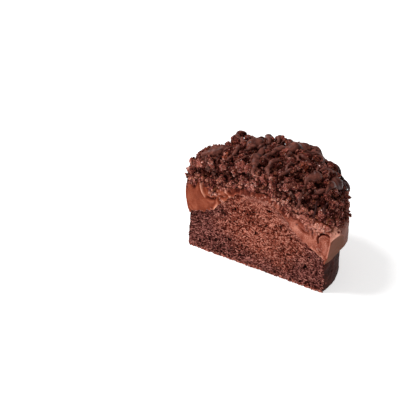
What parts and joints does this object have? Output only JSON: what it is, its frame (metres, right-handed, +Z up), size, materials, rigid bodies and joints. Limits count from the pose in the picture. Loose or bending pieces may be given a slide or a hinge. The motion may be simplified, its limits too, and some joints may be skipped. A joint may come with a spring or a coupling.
{
  "type": "half brownie tart",
  "caption": "Half of a small round chocolate brownie tart: domed brownie base, mousse layer and a crumb heap on top, flat cut face, rests on its underside.",
  "frame": {"origin": "middle of the underside of the part's box, on the surface it rests on", "axes": "+Z up, +X along the cut face towards the end where the mousse hangs lower, -Y out of the cut face, +Y towards the rounded back"},
  "size_m": [0.0838, 0.0456, 0.0551],
  "materials": {
    "brownie": "matte",
    "mousse": "satin",
    "crumb_topping": "matte",
    "drizzle": "satin"
  },
  "bodies": {
    "root": {"brownie": "brownie", "mousse": "mousse", "crumb_topping": "crumb_topping"}
  },
  "joints": []
}
